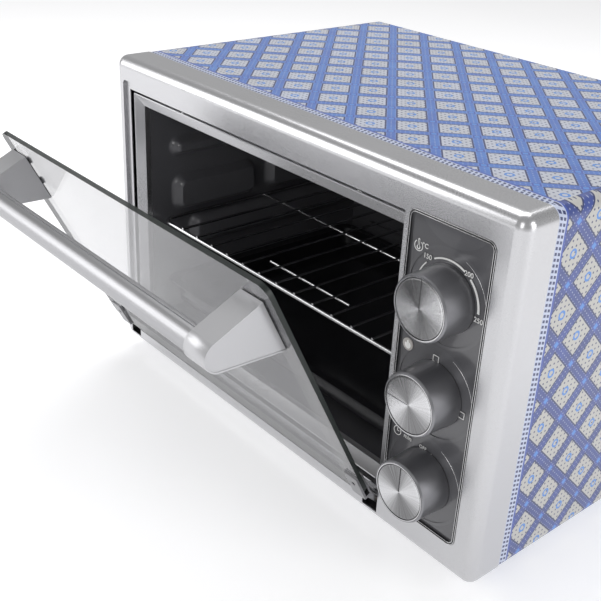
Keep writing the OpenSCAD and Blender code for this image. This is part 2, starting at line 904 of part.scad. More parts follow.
// A clamp on the glass corner with a knuckle for the hinge pin
module hinge_shoe(x0) {
    x1 = x0 + shoe_w;
    color("dimgray")
    on_door()
        difference() {
            union() {
                block([x0, glass_y0 - jaw_t, glass_z0 - 1.5], [x1, glass_y0 - 0.02, glass_z0 + shoe_h]);
                block([x0, glass_y1 + 0.02, glass_z0 - 1.5], [x1, glass_y1 + 1.5, glass_z0 + shoe_h]);
                block([x0, glass_y0 - jaw_t, glass_z0 - 2.5], [x1, glass_y1 + 1.5, glass_z0 - 0.02]);
                along_x(x0, x1)
                    polygon([
                        [glass_y0 + 1, glass_z0 - 1], [glass_y0 + 1, glass_z0 - 2.5],
                        [hinge_y - boss_r + 0.5, hinge_z - 1], [hinge_y, hinge_z],
                        [hinge_y, hinge_z + boss_r - 0.2], [glass_y1 + 1.5, glass_z0 - 1]
                    ]);
                rod_x(x0, x1, hinge_y, hinge_z, boss_r);
            }
            rod_x(x0 - 1, x1 + 1, hinge_y, hinge_z, pin_r);
            rod_y((x0 + x1) / 2, glass_y0 - jaw_t - 1, glass_y1 + 3, glass_z0 + shoe_h / 2 + 2, 2);
        }
}

module hinge_shoe_left() {
    hinge_shoe(left_shoe_x);
}

module hinge_shoe_right() {
    hinge_shoe(right_shoe_x);
}

module hinge_pins() {
    color("silver")
    for (side = [0, 1])
        translate([side * (open_x0 + open_x1), 0, 0])
            mirror([side, 0, 0])
                rod_x(open_x0 - 4.5, left_shoe_x + shoe_w - 2, hinge_y, hinge_z, pin_r);
}

// Outline of a bracket, from the glass out to the round nose, with its lower edge tangent to the nose
module bracket_outline(inset) {
    base_y = glass_y0 - pad_t;
    r = nose_r - inset;
    low = [base_y, bracket_z0 + inset];
    high = [base_y, bracket_z1 - inset];
    c = [bar_y, bar_z];
    low_t = tangent(low, c, r, -1);
    high_t = tangent(high, c, r, 1);
    translate(c)
        circle(r);
    polygon([low, high, high_t, c, low_t]);
}

// Where a line from p just touches the circle of radius r about c, on the side given by s
function tangent(p, c, r, s) =
    let (d = p - c, l = norm(d), a = atan2(d[1], d[0]) + s * acos(r / l))
    c + r * [cos(a), sin(a)];

module handle_bracket(x0, x1, outer) {
    color("gainsboro")
    on_door()
        difference() {
            along_x(x0, x1)
                bracket_outline(0);
            // Shallow inlay on the outer side
            along_x(outer - 0.5, outer + 0.5)
                bracket_outline(1.4);
            for (z = screw_zs)
                rod_y((x0 + x1) / 2, glass_y0 - 16, glass_y0, z, screw_r + run_gap);
        }
}

module handle_bracket_left() {
    handle_bracket(left_x0, left_x1, left_x0);
}

module handle_bracket_right() {
    handle_bracket(right_x0, right_x1, right_x1);
}

module handle_pads() {
    color([0.1, 0.1, 0.1])
    on_door()
        for (x0 = [left_x0, right_x0])
            difference() {
                block([x0 + 1, glass_y0 - pad_t + 0.01, bracket_z0 + 0.5],
                    [x0 + bracket_w - 1, glass_y0 - 0.01, bracket_z1 - 0.5]);
                for (z = screw_zs)
                    rod_y(x0 + bracket_w / 2, glass_y0 - 3, glass_y0 + 1, z, screw_r + 0.8);
            }
}

module handle_bar() {
    color("silver")
    on_door()
        difference() {
            rod_x(left_x1 + 0.01, right_x0 - 0.01, bar_y, bar_z, bar_r);
            // Hollow inside, flat at the back, with a seam behind the rounded front
            rod_x(left_x1 - 1, right_x0 + 1, bar_y, bar_z, bar_r - 4);
            block([left_x1 - 1, bar_y + bar_r * 0.72, bar_z - bar_r],
                [right_x0 + 1, bar_y + bar_r + 1, bar_z + bar_r]);
            for (s = [-1, 1])
                block([left_x1 - 1, bar_y + bar_r * 0.3, bar_z + s * bar_r * 0.9 - seam],
                    [right_x0 + 1, bar_y + bar_r * 0.3 + seam, bar_z + s * bar_r * 0.9 + seam]);
        }
}

module handle_screws() {
    color("silver")
    on_door()
        for (x = bracket_mids())
            for (z = screw_zs)
                translate([0, 2 * (glass_y1 + 0.02), 0])
                    mirror([0, 1, 0])
                        screw_y(x, z, glass_y1 + 0.02, glass_y1 + glass_t + pad_t + 14, screw_r, 4.5);
}

// ---------- Dials ----------

// Everything on a dial is drawn with its pointer up on the y axis, and this turns and places it
module on_dial(z, turn) {
    translate([dial_x, 0, z])
        rotate([0, turn, 0])
            children();
}

// Turned body with a flared base, a shallow seat for the cap and a blind hole for the shaft
module knob(z, turn) {
    grip_r = cap_r + 2.7;
    base_y = panel_y + dish_d - dial_gap;
    flare = [
        for (i = [0 : 12])
            let (t = i / 12)
            [grip_r + (dial_r - grip_r) * pow(t, 2.2), -dial_h + 1.5 + t * (dial_h - 2.5)]
    ];
    color([0.45, 0.45, 0.47])
    on_dial(z, turn)
        difference() {
            rotate([-90, 0, 0])
                rotate_extrude($fn = 96)
                    polygon(concat(
                        [
                            [0, -dial_h + 2.2], [cap_r + 1.2, -dial_h + 2.2],
                            [cap_r + 1.2, -dial_h + 0.4], [grip_r - 0.8, -dial_h + 0.4]
                        ],
                        flare,
                        [[dial_r, base_y], [0, base_y]]
                    ));
            rod_y(0, shaft_y0, base_y + 1, 0, shaft_r + 0.01);
            difference() {
                rod_y(0, -dial_h + 8, base_y + 1, 0, grip_r - 3);
                rod_y(0, -dial_h + 7, base_y + 2, 0, shaft_r + 3);
            }
        }
}

module knob_cap(z, turn) {
    color("silver")
    on_dial(z, turn)
        difference() {
            rotate([-90, 0, 0])
                rotate_extrude($fn = 96)
                    polygon([
                        [0, -dial_h + 0.35], [cap_r - 1.2, -dial_h], [cap_r - 0.3, -dial_h + 0.3],
                        [cap_r, -dial_h + 0.9], [cap_r, -dial_h + 2.19], [0, -dial_h + 2.19]
                    ]);
            block([-0.6, -dial_h - 1, 0.5], [0.6, -dial_h + 0.8, cap_r + 1]);
        }
}

module knob_ring(z, turn) {
    color("white")
    on_dial(z, turn)
        along_y(-dial_h + 0.1, -dial_h + 2.19)
            difference() {
                circle(cap_r + 1.15, $fn = 96);
                circle(cap_r + 0.45, $fn = 96);
            }
}

module dial_shaft(z, turn) {
    color("gainsboro")
    on_dial(z, turn)
        rod_y(0, shaft_y0 + 0.1, shaft_y1, 0, shaft_r);
}

module temperature_knob() { knob(dial_zs[0], 0); }
module temperature_knob_cap() { knob_cap(dial_zs[0], 0); }
module temperature_knob_ring() { knob_ring(dial_zs[0], 0); }
module temperature_shaft() { dial_shaft(dial_zs[0], 0); }
module function_knob() { knob(dial_zs[1], selector_rest); }
module function_knob_cap() { knob_cap(dial_zs[1], selector_rest); }
module function_knob_ring() { knob_ring(dial_zs[1], selector_rest); }
module function_shaft() { dial_shaft(dial_zs[1], selector_rest); }
module timer_knob() { knob(dial_zs[2], 0); }
module timer_knob_cap() { knob_cap(dial_zs[2], 0); }
module timer_knob_ring() { knob_ring(dial_zs[2], 0); }
module timer_shaft() { dial_shaft(dial_zs[2], 0); }

translate(home) {
    front_frame();
    outer_wrapper();
    base_plate();
    rear_panel();
    feet();
    foot_screws();
    rear_spacers();
    case_screws();
    cavity_left_wall();
    cavity_right_wall();
    cavity_roof();
    cavity_floor();
    cavity_back();
    cavity_screws();
    hinge_bushes();
    upper_heating_rods();
    lower_heating_rods();
    rod_insulators();
    wire_rack();
    baking_tray();
    control_panel();
    panel_trim();
    component_bracket();
    thermostat_body();
    thermostat_bulb();
    selector_switch();
    timer_body();
    timer_bell();
    indicator_lens();
    indicator_lamp();
    terminal_block();
    control_wiring();
    cord_gland();
    door_glass();
    hinge_shoe_left();
    hinge_shoe_right();
    hinge_pins();
    handle_pads();
    handle_bracket_left();
    handle_bracket_right();
    handle_bar();
    handle_screws();
    temperature_knob();
    temperature_knob_cap();
    temperature_knob_ring();
    temperature_shaft();
    function_knob();
    function_knob_cap();
    function_knob_ring();
    function_shaft();
    timer_knob();
    timer_knob_cap();
    timer_knob_ring();
    timer_shaft();
}
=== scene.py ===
import json
from math import cos, hypot, pi, radians, sin

import bmesh
import bpy
from mathutils import Euler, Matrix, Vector


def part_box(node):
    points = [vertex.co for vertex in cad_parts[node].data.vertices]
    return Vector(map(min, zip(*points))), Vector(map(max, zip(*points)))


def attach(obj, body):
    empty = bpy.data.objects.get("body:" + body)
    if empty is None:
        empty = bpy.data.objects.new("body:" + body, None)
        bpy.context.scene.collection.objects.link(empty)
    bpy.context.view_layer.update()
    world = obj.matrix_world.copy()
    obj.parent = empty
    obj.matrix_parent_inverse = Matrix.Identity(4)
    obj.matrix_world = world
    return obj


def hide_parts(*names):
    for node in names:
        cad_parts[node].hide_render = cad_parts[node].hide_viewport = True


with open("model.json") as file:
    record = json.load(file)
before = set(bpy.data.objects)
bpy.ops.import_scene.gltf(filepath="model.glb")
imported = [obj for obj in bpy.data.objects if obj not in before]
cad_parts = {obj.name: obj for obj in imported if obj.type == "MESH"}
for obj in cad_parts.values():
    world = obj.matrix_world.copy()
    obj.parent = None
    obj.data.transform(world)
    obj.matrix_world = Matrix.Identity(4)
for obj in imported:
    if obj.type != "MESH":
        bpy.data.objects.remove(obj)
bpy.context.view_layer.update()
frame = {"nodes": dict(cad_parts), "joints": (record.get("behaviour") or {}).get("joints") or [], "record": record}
nodes = frame["nodes"]


# ---------- Where things are, read from the frame ----------

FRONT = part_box("front_frame")[0].y
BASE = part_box("front_frame")[0].z
MM = 0.001


def at(x, y, z):
    """A point in mm from the middle of the front face's lower edge, as metres in the row frame."""
    return Vector((x * MM, FRONT + y * MM, BASE + z * MM))


def middle(node):
    low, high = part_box(node)
    return (low + high) / 2


dial_centres = [middle(f"{name}_knob_cap") for name in ("temperature", "function", "timer")]
DIAL_X = dial_centres[0].x / MM
DIAL_ZS = [(c.z - BASE) / MM for c in dial_centres]
DIAL_PITCH = DIAL_ZS[0] - DIAL_ZS[1]
PANEL_LOW, PANEL_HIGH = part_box("control_panel")
PANEL_Y = (PANEL_LOW.y - FRONT) / MM
hinge = next(j for j in frame["joints"] if j["name"] == "door_hinge")
HINGE = Vector(hinge["pos_m"])
DOOR_TILT = radians(-hinge["range_deg"][0])


# ---------- Shader kit ----------

class Value:
    """A shader socket that takes Python's operators; each of them adds its Math node."""

    def __init__(self, finish, socket):
        self.finish = finish
        self.socket = socket

    def __add__(self, other):
        return self.finish.math("ADD", self, other)

    def __sub__(self, other):
        return self.finish.math("SUBTRACT", self, other)

    def __rsub__(self, other):
        return self.finish.math("SUBTRACT", other, self)

    def __mul__(self, other):
        return self.finish.math("MULTIPLY", self, other)

    def __truediv__(self, other):
        return self.finish.math("DIVIDE", self, other)

    def __pow__(self, other):
        return self.finish.math("POWER", self, other)

    def __lt__(self, other):
        return self.finish.math("LESS_THAN", self, other)

    def __gt__(self, other):
        return self.finish.math("GREATER_THAN", self, other)

    def __and__(self, other):
        return self.finish.math("MINIMUM", self, other)

    def __or__(self, other):
        return self.finish.math("MAXIMUM", self, other)

    def __abs__(self):
        return self.finish.math("ABSOLUTE", self)

    __radd__ = __add__
    __rmul__ = __mul__


class Finish:
    """A material for one finish, built round a Principled shader."""

    def __init__(self, name, color, roughness, metallic=0.0, **extra):
        self.material = bpy.data.materials.new(name)
        self.material.use_nodes = True
        self.tree = self.material.node_tree
        self.shader = self.tree.nodes["Principled BSDF"]
        self.color = color
        self.roughness = roughness
        self.feed(self.shader.inputs["Base Color"], color)
        self.feed(self.shader.inputs["Roughness"], roughness)
        self.feed(self.shader.inputs["Metallic"], metallic)
        for socket, value in extra.items():
            self.feed(self.shader.inputs[socket.replace("_", " ")], value)

    def feed(self, socket, value):
        if isinstance(value, Value):
            self.tree.links.new(value.socket, socket)
        elif isinstance(value, (tuple, list)) and len(value) == 3 and len(socket.default_value) == 4:
            socket.default_value = (*value, 1)
        else:
            socket.default_value = value

    def node(self, kind, settings=None, sockets=None, out=0):
        made = self.tree.nodes.new(kind)
        for key, value in (settings or {}).items():
            setattr(made, key, value)
        for key, value in (sockets or {}).items():
            self.feed(made.inputs[key], value)
        return Value(self, made.outputs[out])

    def math(self, operation, a, b=0.0):
        return self.node("ShaderNodeMath", {"operation": operation}, {0: a, 1: b})

    def mix(self, share, a, b):
        return self.node("ShaderNodeMix", {"data_type": "RGBA"}, {0: share, 6: a, 7: b}, out=2)

    def place(self):
        return self.node("ShaderNodeTexCoord", out=3)

    def turned(self, origin, angle):
        """The object's own coordinates, turned about a line along x, with their origin moved there."""
        turn = Euler((angle, 0, 0)).to_matrix()
        sockets = {0: self.place(), 1: -(turn @ origin), 2: (angle, 0, 0)}
        return self.node("ShaderNodeMapping", {"vector_type": "POINT"}, sockets)

    def axes(self, vector):
        split = self.node("ShaderNodeSeparateXYZ", None, {0: vector})
        parts = split.socket.node.outputs
        return [Value(self, part) for part in parts]

    def noise(self, scale, detail=3.0, stretch=(1, 1, 1), place=None):
        sockets = {0: place or self.place(), 3: tuple(stretch)}
        stretched = self.node("ShaderNodeMapping", None, sockets)
        sockets = {"Vector": stretched, "Scale": scale, "Detail": detail}
        return self.node("ShaderNodeTexNoise", None, sockets)

    def lines(self, position, detail=2.0):
        """Fine random lines across a value, for brushed or spun metal."""
        sockets = {"W": position, "Detail": detail}
        return self.node("ShaderNodeTexNoise", {"noise_dimensions": "1D"}, sockets)

    def vary(self, pattern, low, high):
        """A value that goes from low to high with a pattern from 0 to 1."""
        return pattern * (high - low) + low

    def tint(self, pattern, strength):
        """The finish's colour, darker and lighter by a share with the pattern."""
        dark = tuple(c * (1 - strength) for c in self.color)
        light = tuple(min(1, c * (1 + strength)) for c in self.color)
        self.feed(self.shader.inputs["Base Color"], self.mix(pattern, dark, light))
        return self

    def paint(self, color):
        self.feed(self.shader.inputs["Base Color"], color)
        return self

    def gloss(self, roughness):
        self.feed(self.shader.inputs["Roughness"], roughness)
        return self

    def relief(self, height, depth, strength=1.0):
        """Bump of a height from 0 to 1 that stands depth metres high."""
        sockets = {"Strength": strength, "Distance": depth, "Height": height}
        self.feed(self.shader.inputs["Normal"], self.node("ShaderNodeBump", None, sockets))
        return self


# ---------- Finishes ----------

def satin_paint(name, color, roughness, metallic):
    """Silver paint with fine flake, a faint orange peel and the cloudiness of a sprayed coat."""
    f = Finish(name, color, roughness, metallic, Coat_Weight=0.25, Coat_Roughness=0.18)
    flake = f.noise(2600, 1)
    cloud = f.noise(9, 3)
    f.tint(flake * 0.75 + cloud * 0.25, 0.06)
    f.gloss(f.vary(cloud * 0.6 + flake * 0.4, roughness - 0.05, roughness + 0.07))
    return f.relief(f.noise(420, 2), 0.00002, 0.25)


def zinc_sheet():
    f = Finish("zinc_sheet", (0.60, 0.61, 0.62), 0.36, 0.9)
    spangle = f.node("ShaderNodeTexVoronoi", None, {"Vector": f.place(), "Scale": 90.0})
    f.tint(spangle, 0.12)
    f.gloss(f.vary(f.noise(60, 4), 0.28, 0.46))
    return f.relief(f.noise(900, 2), 0.00002, 0.3)


def brushed(name, color, roughness, stretch, depth=0.00003):
    f = Finish(name, color, roughness, 1.0)
    strokes = f.noise(1500, 4, stretch)
    f.tint(strokes, 0.10)
    f.gloss(f.vary(strokes, roughness - 0.06, roughness + 0.10))
    return f.relief(strokes, depth, 0.5)


def from_dial(f):
    """How far a point is from the axis of its own dial: across, up and along the radius."""
    x, _, z = f.axes(f.place())
    across = x - dial_centres[0].x
    pitch = DIAL_PITCH * MM
    turns = (z - (dial_centres[1].z - pitch / 2)) / pitch
    up = (f.math("FRACT", turns) - 0.5) * pitch
    return across, up, f.math("SQRT", across * across + up * up)


def spun_metal(name, color, roughness, depth):
    """Turned metal: fine rings round the dial's axis, with painted reflections across them: bright and dark wedges
    painted into the colour by the angle round the axis.
    """
    f = Finish(name, color, roughness, 1.0)
    across, up, radius = from_dial(f)
    rings = f.lines(radius * 5200, 3)
    coarse = f.lines(radius * 900, 2)
    # Painted reflection: bright and dark sectors painted into the colour by the angle round the dial, with
    # near-black painted shade in the dark ones.
    angle = f.math("ARCTAN2", across, up)
    reflection_lobes = f.math("COSINE", (angle - radians(62)) * 2) * 0.5 + 0.5
    reflection_fans = f.lines(angle * 2.2 + 4, 2)
    painted_reflection = f.math("MINIMUM", reflection_lobes ** 1.6 * 0.8 + reflection_fans * 0.35, 1)
    dark = tuple(c * 0.16 for c in color)
    dull = tuple(c * 0.85 for c in color)
    f.paint(f.mix(painted_reflection, dark, f.mix(rings * 0.6 + coarse * 0.4, dull, color)))
    f.gloss(f.vary(coarse, roughness - 0.04, roughness + 0.06))
    return f.relief(rings, depth, 1.0)


def dark_enamel(name, color, roughness):
    f = Finish(name, color, roughness, 0.0, Coat_Weight=0.5, Coat_Roughness=0.12)
    speckle = f.noise(1400, 2)
    smear = f.noise(14, 4)
    f.tint(speckle * 0.5 + smear * 0.5, 0.35)
    f.gloss(f.vary(smear, roughness - 0.07, roughness + 0.10))
    return f.relief(f.noise(260, 3), 0.00006, 0.35)


def moulded(name, color, roughness, grain=700, depth=0.00004, coat=0.0):
    f = Finish(name, color, roughness, 0.0, Coat_Weight=coat, Coat_Roughness=0.1)
    skin = f.noise(grain, 3)
    f.tint(skin * 0.5 + f.noise(18, 2) * 0.5, 0.10)
    f.gloss(f.vary(skin, roughness - 0.05, roughness + 0.07))
    return f.relief(skin, depth, 0.4)


def chrome(name="chrome_wire"):
    f = Finish(name, (0.60, 0.60, 0.61), 0.14, 1.0)
    haze = f.noise(120, 4)
    f.tint(haze, 0.06)
    return f.gloss(f.vary(haze, 0.12, 0.28))


def heated_sheath():
    """Steel sheath of a heating rod, straw and blue-grey where it has been hot."""
    f = Finish("rod_sheath", (0.30, 0.285, 0.27), 0.42, 0.85)
    heat = f.noise(16, 3)
    f.paint(f.mix(heat, (0.34, 0.30, 0.25), (0.17, 0.18, 0.21)))
    f.gloss(f.vary(f.noise(300, 3), 0.34, 0.52))
    return f.relief(f.noise(1200, 2), 0.00003, 0.3)


def coloured_glass(name, color, alpha):
    f = Finish(name, color, 0.08, 0.0, Alpha=alpha, Coat_Weight=0.6, Coat_Roughness=0.03)
    f.tint(f.noise(200, 2), 0.10)
    return f.gloss(f.vary(f.noise(90, 3), 0.05, 0.12))


def printed_wrapper():
    """Printed steel sheet: a border of navy stitches, then a lattice of dotted diamonds and blue blocks, with
    painted shade that makes the sides darker than the top.
    """
    white, cream, navy = (0.50, 0.55, 0.70), (0.46, 0.45, 0.42), (0.010, 0.018, 0.10)
    blue, sky, pale = (0.030, 0.070, 0.36), (0.06, 0.22, 0.60), (0.25, 0.36, 0.66)
    cell, dot_pitch, stitch_pitch = 0.047, 0.0046, 0.0042
    border_end, stitch_half = 0.0088, 0.0013
    f = Finish("printed_wrapper", pale, 0.34, 0.0, Coat_Weight=0.3, Coat_Roughness=0.15)
    x, y, z = f.axes(f.place())
    low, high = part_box("outer_wrapper")
    on_side = abs(x) > high.x - 0.0098
    along = x + (z - x) * on_side
    depth = y - low.y

    def fold(value):
        """0 in the middle of each unit, 0.5 at its edges."""
        return abs(f.math("FRACT", value) - 0.5)

    a, b = (along + depth) / cell, (along - depth) / cell
    fa, fb = fold(a), fold(b)
    diamond = (fa | fb) < 0.345
    rim = ((fa | fb) < 0.385) & ((fa | fb) > 0.345)
    block = (fa & fb) > 0.40
    core = (fa & fb) > 0.44
    du, dv = fold(along / dot_pitch), fold(depth / dot_pitch)
    dots = (du * du + dv * dv) < 0.035
    flower = ((fa * fa + fb * fb) < 0.0135) & ((fa * fa + fb * fb) > 0.0040)
    # Painted shade on the sides: their ground takes blue and navy in place of the top's sky and blue, and their
    # diamonds take cream in place of white.
    ground = f.mix(f.noise(45, 3), f.mix(on_side, blue, navy), f.mix(on_side, sky, blue))
    beads = (fold(a * 9) & fold(b * 9)) > 0.36
    ground = f.mix(beads * 0.55, ground, white)
    inside = f.mix(f.noise(30, 2), cream, f.mix(on_side, white, cream))
    inside = f.mix(dots * 0.93, inside, navy)
    inside = f.mix(flower, inside, sky)
    color = f.mix(diamond, ground, inside)
    color = f.mix(rim, color, navy)
    color = f.mix(block, color, blue)
    color = f.mix(core, color, sky)
    slope = depth * 0.30
    stitch = fold((along + slope) / stitch_pitch)
    row_one = (abs(depth - 0.0028) < stitch_half) & (stitch < 0.27)
    row_two = (abs(depth - 0.0066) < stitch_half) & (stitch < 0.27)
    border = depth < border_end
    color = f.mix(border, color, white)
    color = f.mix(row_one | row_two, color, navy)
    line = abs(depth - 0.0098) < 0.0010
    color = f.mix(line, color, blue)
    color = f.mix(f.noise(700, 2) * 0.10, color, white)
    f.paint(color)
    f.gloss(f.vary(f.noise(70, 3), 0.27, 0.42))
    return f.relief(f.noise(260, 2), 0.00002, 0.25)


def door_pane():
    """Tinted tempered glass: dark in its cut edge, with a printed band along its right and lower edges."""
    clear, band, edge = (0.24, 0.24, 0.26), (0.12, 0.12, 0.13), (0.004, 0.009, 0.007)
    f = Finish("door_pane", clear, 0.03, 0.0, IOR=1.52, Coat_Roughness=0.01)
    local = f.turned(HINGE, -DOOR_TILT)
    x, _, z = f.axes(local)
    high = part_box("door_glass")[1]
    band_width, foot_top, edge_alpha = 0.021, 0.034, 0.93
    banded = (x > high.x - band_width) | (z < foot_top)
    _, ny, nz = f.axes(f.node("ShaderNodeTexCoord", out=1))
    facing = abs(ny * cos(DOOR_TILT) + nz * sin(DOOR_TILT)) > 0.8
    smudge = f.noise(11, 3)
    color = f.mix(banded, clear, band)
    f.paint(f.mix(facing, edge, color))
    sheer = f.vary(smudge, 0.34, 0.40) + banded * 0.22
    f.feed(f.shader.inputs["Alpha"], edge_alpha + (sheer - edge_alpha) * facing)
    f.feed(f.shader.inputs["Coat Weight"], facing * 0.8)
    return f.gloss(f.vary(f.noise(25, 4), 0.015, 0.06) + (1 - facing) * 0.35)


def panel_coat():
    """Dark lacquered panel with a very fine metallic grain, and a painted cast of light that makes the colour
    paler round each dial.
    """
    f = Finish("panel_coat", (0.085, 0.085, 0.092), 0.22, 0.15, Coat_Weight=0.7, Coat_Roughness=0.06)
    _, _, radius = from_dial(f)
    # Painted light: the colour is paler inside the dish round each dial.
    dish = radius < 0.0385
    grain = f.noise(2400, 2)
    f.tint(grain * 0.6 + dish * 0.25 + f.noise(12, 2) * 0.3, 0.28)
    f.gloss(f.vary(grain, 0.17, 0.28))
    return f.relief(f.noise(600, 2), 0.00001, 0.2)


def knob_lacquer():
    """Satin gunmetal lacquer with fine turning lines round the knob."""
    f = Finish("knob_lacquer", (0.235, 0.235, 0.25), 0.33, 0.8, Coat_Weight=0.35, Coat_Roughness=0.12)
    _, y, _ = f.axes(f.place())
    rings = f.lines(y * 2600, 2)
    f.tint(rings * 0.7 + f.noise(2200, 1) * 0.3, 0.14)
    f.gloss(f.vary(rings, 0.28, 0.40))
    return f.relief(rings, 0.000015, 0.5)


def print_ink():
    f = Finish("print_ink", (0.80, 0.80, 0.79), 0.42)
    f.tint(f.noise(900, 2), 0.06)
    return f.gloss(f.vary(f.noise(300, 2), 0.36, 0.5))


def studio_floor():
    f = Finish("studio_floor", (0.80, 0.80, 0.81), 0.75, Emission_Strength=0.42)
    f.tint(f.noise(3, 3), 0.015)
    f.feed(f.shader.inputs["Emission Color"], f.mix(f.noise(3, 3), (0.97, 0.97, 0.98), (1, 1, 1)))
    return f.gloss(f.vary(f.noise(60, 3), 0.68, 0.82))


FINISHES = {
    "frame_silver": satin_paint("frame_silver_paint", (0.56, 0.56, 0.575), 0.27, 0.92),
    "printed_wrapper": printed_wrapper(),
    "zinc_sheet": zinc_sheet(),
    "foot_rubber": moulded("foot_rubber", (0.022, 0.022, 0.023), 0.72, 420, 0.00008),
    "black_plastic": moulded("black_plastic", (0.02, 0.02, 0.021), 0.48, 600),
    "screw_steel": brushed("screw_steel", (0.62, 0.62, 0.63), 0.26, (1, 1, 1)),
    "cavity_enamel": dark_enamel("cavity_enamel", (0.105, 0.105, 0.114), 0.30),
    "bush_brass": brushed("bush_brass", (0.72, 0.50, 0.20), 0.28, (1, 1, 1)),
    "rod_sheath": heated_sheath(),
    "white_ceramic": moulded("white_ceramic", (0.78, 0.76, 0.70), 0.62, 350, 0.00006),
    "chrome_wire": chrome(),
    "tray_enamel": dark_enamel("tray_enamel", (0.014, 0.014, 0.016), 0.20),
    "panel_grey": panel_coat(),
    "trim_black": moulded("trim_black", (0.022, 0.022, 0.024), 0.18, 900, 0.00001, 0.8),
    "switch_brown": moulded("switch_phenolic", (0.11, 0.045, 0.018), 0.5, 240),
    "bulb_copper": brushed("bulb_copper", (0.72, 0.36, 0.20), 0.3, (1, 1, 1)),
    "switch_ivory": moulded("switch_ivory", (0.72, 0.67, 0.55), 0.5, 300),
    "timer_case": brushed("timer_case", (0.58, 0.58, 0.57), 0.32, (1, 0.05, 1)),
    "bell_steel": brushed("bell_steel", (0.66, 0.66, 0.67), 0.2, (1, 1, 1)),
    "lens_amber": coloured_glass("lens_clear", (0.55, 0.52, 0.50), 0.8),
    "lamp_neon": coloured_glass("lamp_neon", (0.8, 0.22, 0.05), 0.7),
    "door_glass": door_pane(),
    "shoe_steel": brushed("shoe_steel", (0.30, 0.30, 0.31), 0.36, (1, 1, 1)),
    "bracket_silver": satin_paint("bracket_silver_paint", (0.50, 0.50, 0.515), 0.34, 0.6),
    "bar_aluminium": brushed("bar_aluminium", (0.40, 0.40, 0.412), 0.38, (0.004, 1, 1)),
    "wire_sleeve": moulded("wire_cover", (0.42, 0.05, 0.035), 0.5, 900),
    "knob_gunmetal": knob_lacquer(),
    # The caps' colour carries painted reflections: bright and dark wedges round each dial.
    "cap_spun": spun_metal("cap_spun", (0.74, 0.74, 0.755), 0.23, 0.00003),
    "ring_chrome": chrome("ring_chrome"),
}

for part in frame["record"]["subparts"]:
    shown = nodes[part["node"]]
    finish = FINISHES[part["material_slot"]]
    if not shown.material_slots:
        shown.data.materials.append(finish.material)
    for slot in shown.material_slots:
        slot.material = finish.material


# ---------- Mesh kit ----------

def piece(name, mesh_maker, finish, body="cabinet", smooth=None):
    """A new mesh object from bmesh code, with its finish and the body it rides on."""
    bm = bmesh.new()
    mesh_maker(bm)
    bmesh.ops.recalc_face_normals(bm, faces=bm.faces[:])
    mesh = bpy.data.meshes.new(name)
    bm.to_mesh(mesh)
    bm.free()
    made = bpy.data.objects.new(name, mesh)
    bpy.context.scene.collection.objects.link(made)
    mesh.materials.append(finish.material)
    if smooth:
        mesh.shade_smooth()
        mesh.set_sharp_from_angle(angle=radians(smooth))
    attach(made, body)
    return made


def soften(node, width):
    """Small rounded edges, width mm wide, on a CAD piece."""
    made = nodes[node]
    weld = made.modifiers.new("weld", "WELD")
    weld.merge_threshold = 0.00001
    bevel = made.modifiers.new("edges", "BEVEL")
    bevel.width = width * MM
    bevel.segments = 2
    bevel.limit_method = "ANGLE"
    bevel.angle_limit = radians(35)
    bevel.use_clamp_overlap = True
    bevel.harden_normals = True


def slab(bm, outline, y0, y1):
    """A flat solid between depths y0 and y1 with an outline in x and z."""
    front = [bm.verts.new(at(x, y0, z)) for x, z in outline]
    back = [bm.verts.new(at(x, y1, z)) for x, z in outline]
    bm.faces.new(front)
    bm.faces.new(back[::-1])
    count = len(outline)
    for i in range(count):
        j = (i + 1) % count
        bm.faces.new((front[j], front[i], back[i], back[j]))


def strip(bm, outer, inner, y0, y1, closed=True):
    """A flat band between two lines of points in x and z."""
    corners = [[bm.verts.new(at(x, y, z)) for x, z in line] for line in (outer, inner) for y in (y0, y1)]
    outer_front, outer_back, inner_front, inner_back = corners
    count = len(outer)
    for i in range(count if closed else count - 1):
        j = (i + 1) % count
        bm.faces.new((outer_front[i], outer_front[j], inner_front[j], inner_front[i]))
        bm.faces.new((outer_back[j], outer_back[i], inner_back[i], inner_back[j]))
        bm.faces.new((outer_front[j], outer_front[i], outer_back[i], outer_back[j]))
        bm.faces.new((inner_front[i], inner_front[j], inner_back[j], inner_back[i]))
    if not closed:
        for i in (0, count - 1):
            bm.faces.new((outer_front[i], inner_front[i], inner_back[i], outer_back[i]))


def arc(cx, cz, r, start, stop, steps):
    """Points round a centre, with angles clockwise from straight up as on a clock."""
    turns = [radians(start + (stop - start) * i / steps) for i in range(steps + 1)]
    return [(cx + r * sin(t), cz + r * cos(t)) for t in turns]


def circle(cx, cz, r, steps=40):
    return arc(cx, cz, r, 0, 360, steps)[:-1]


def rounded(x0, x1, z0, z1, r, steps=8):
    corners = ((x1 - r, z1 - r, 0), (x1 - r, z0 + r, 90), (x0 + r, z0 + r, 180), (x0 + r, z1 - r, 270))
    return [p for cx, cz, start in corners for p in arc(cx, cz, r, start, start + 90, steps)]


# ---------- Camera, light and floor ----------

camera = bpy.data.objects.new("camera", bpy.data.cameras.new("camera"))
bpy.context.scene.collection.objects.link(camera)
camera.location = at(584.351, -477.511, 532.014)
camera.rotation_euler = [radians(a) for a in (62.8425, -2.5093, 50.1106)]
camera.data.sensor_width = 36
camera.data.lens = 58.647
camera.data.clip_start = 0.01
bpy.context.scene.camera = camera
bpy.context.scene.view_settings.view_transform = "Standard"


def softbox(name, where, aim, size, power, tone=(1, 1, 1)):
    lamp = bpy.data.lights.new(name, "AREA")
    lamp.shape = "RECTANGLE"
    lamp.size, lamp.size_y = size
    lamp.energy = power
    lamp.color = tone
    made = bpy.data.objects.new(name, lamp)
    bpy.context.scene.collection.objects.link(made)
    made.location = where
    made.rotation_euler = (Vector(aim) - Vector(where)).to_track_quat("-Z", "Y").to_euler()
    return made


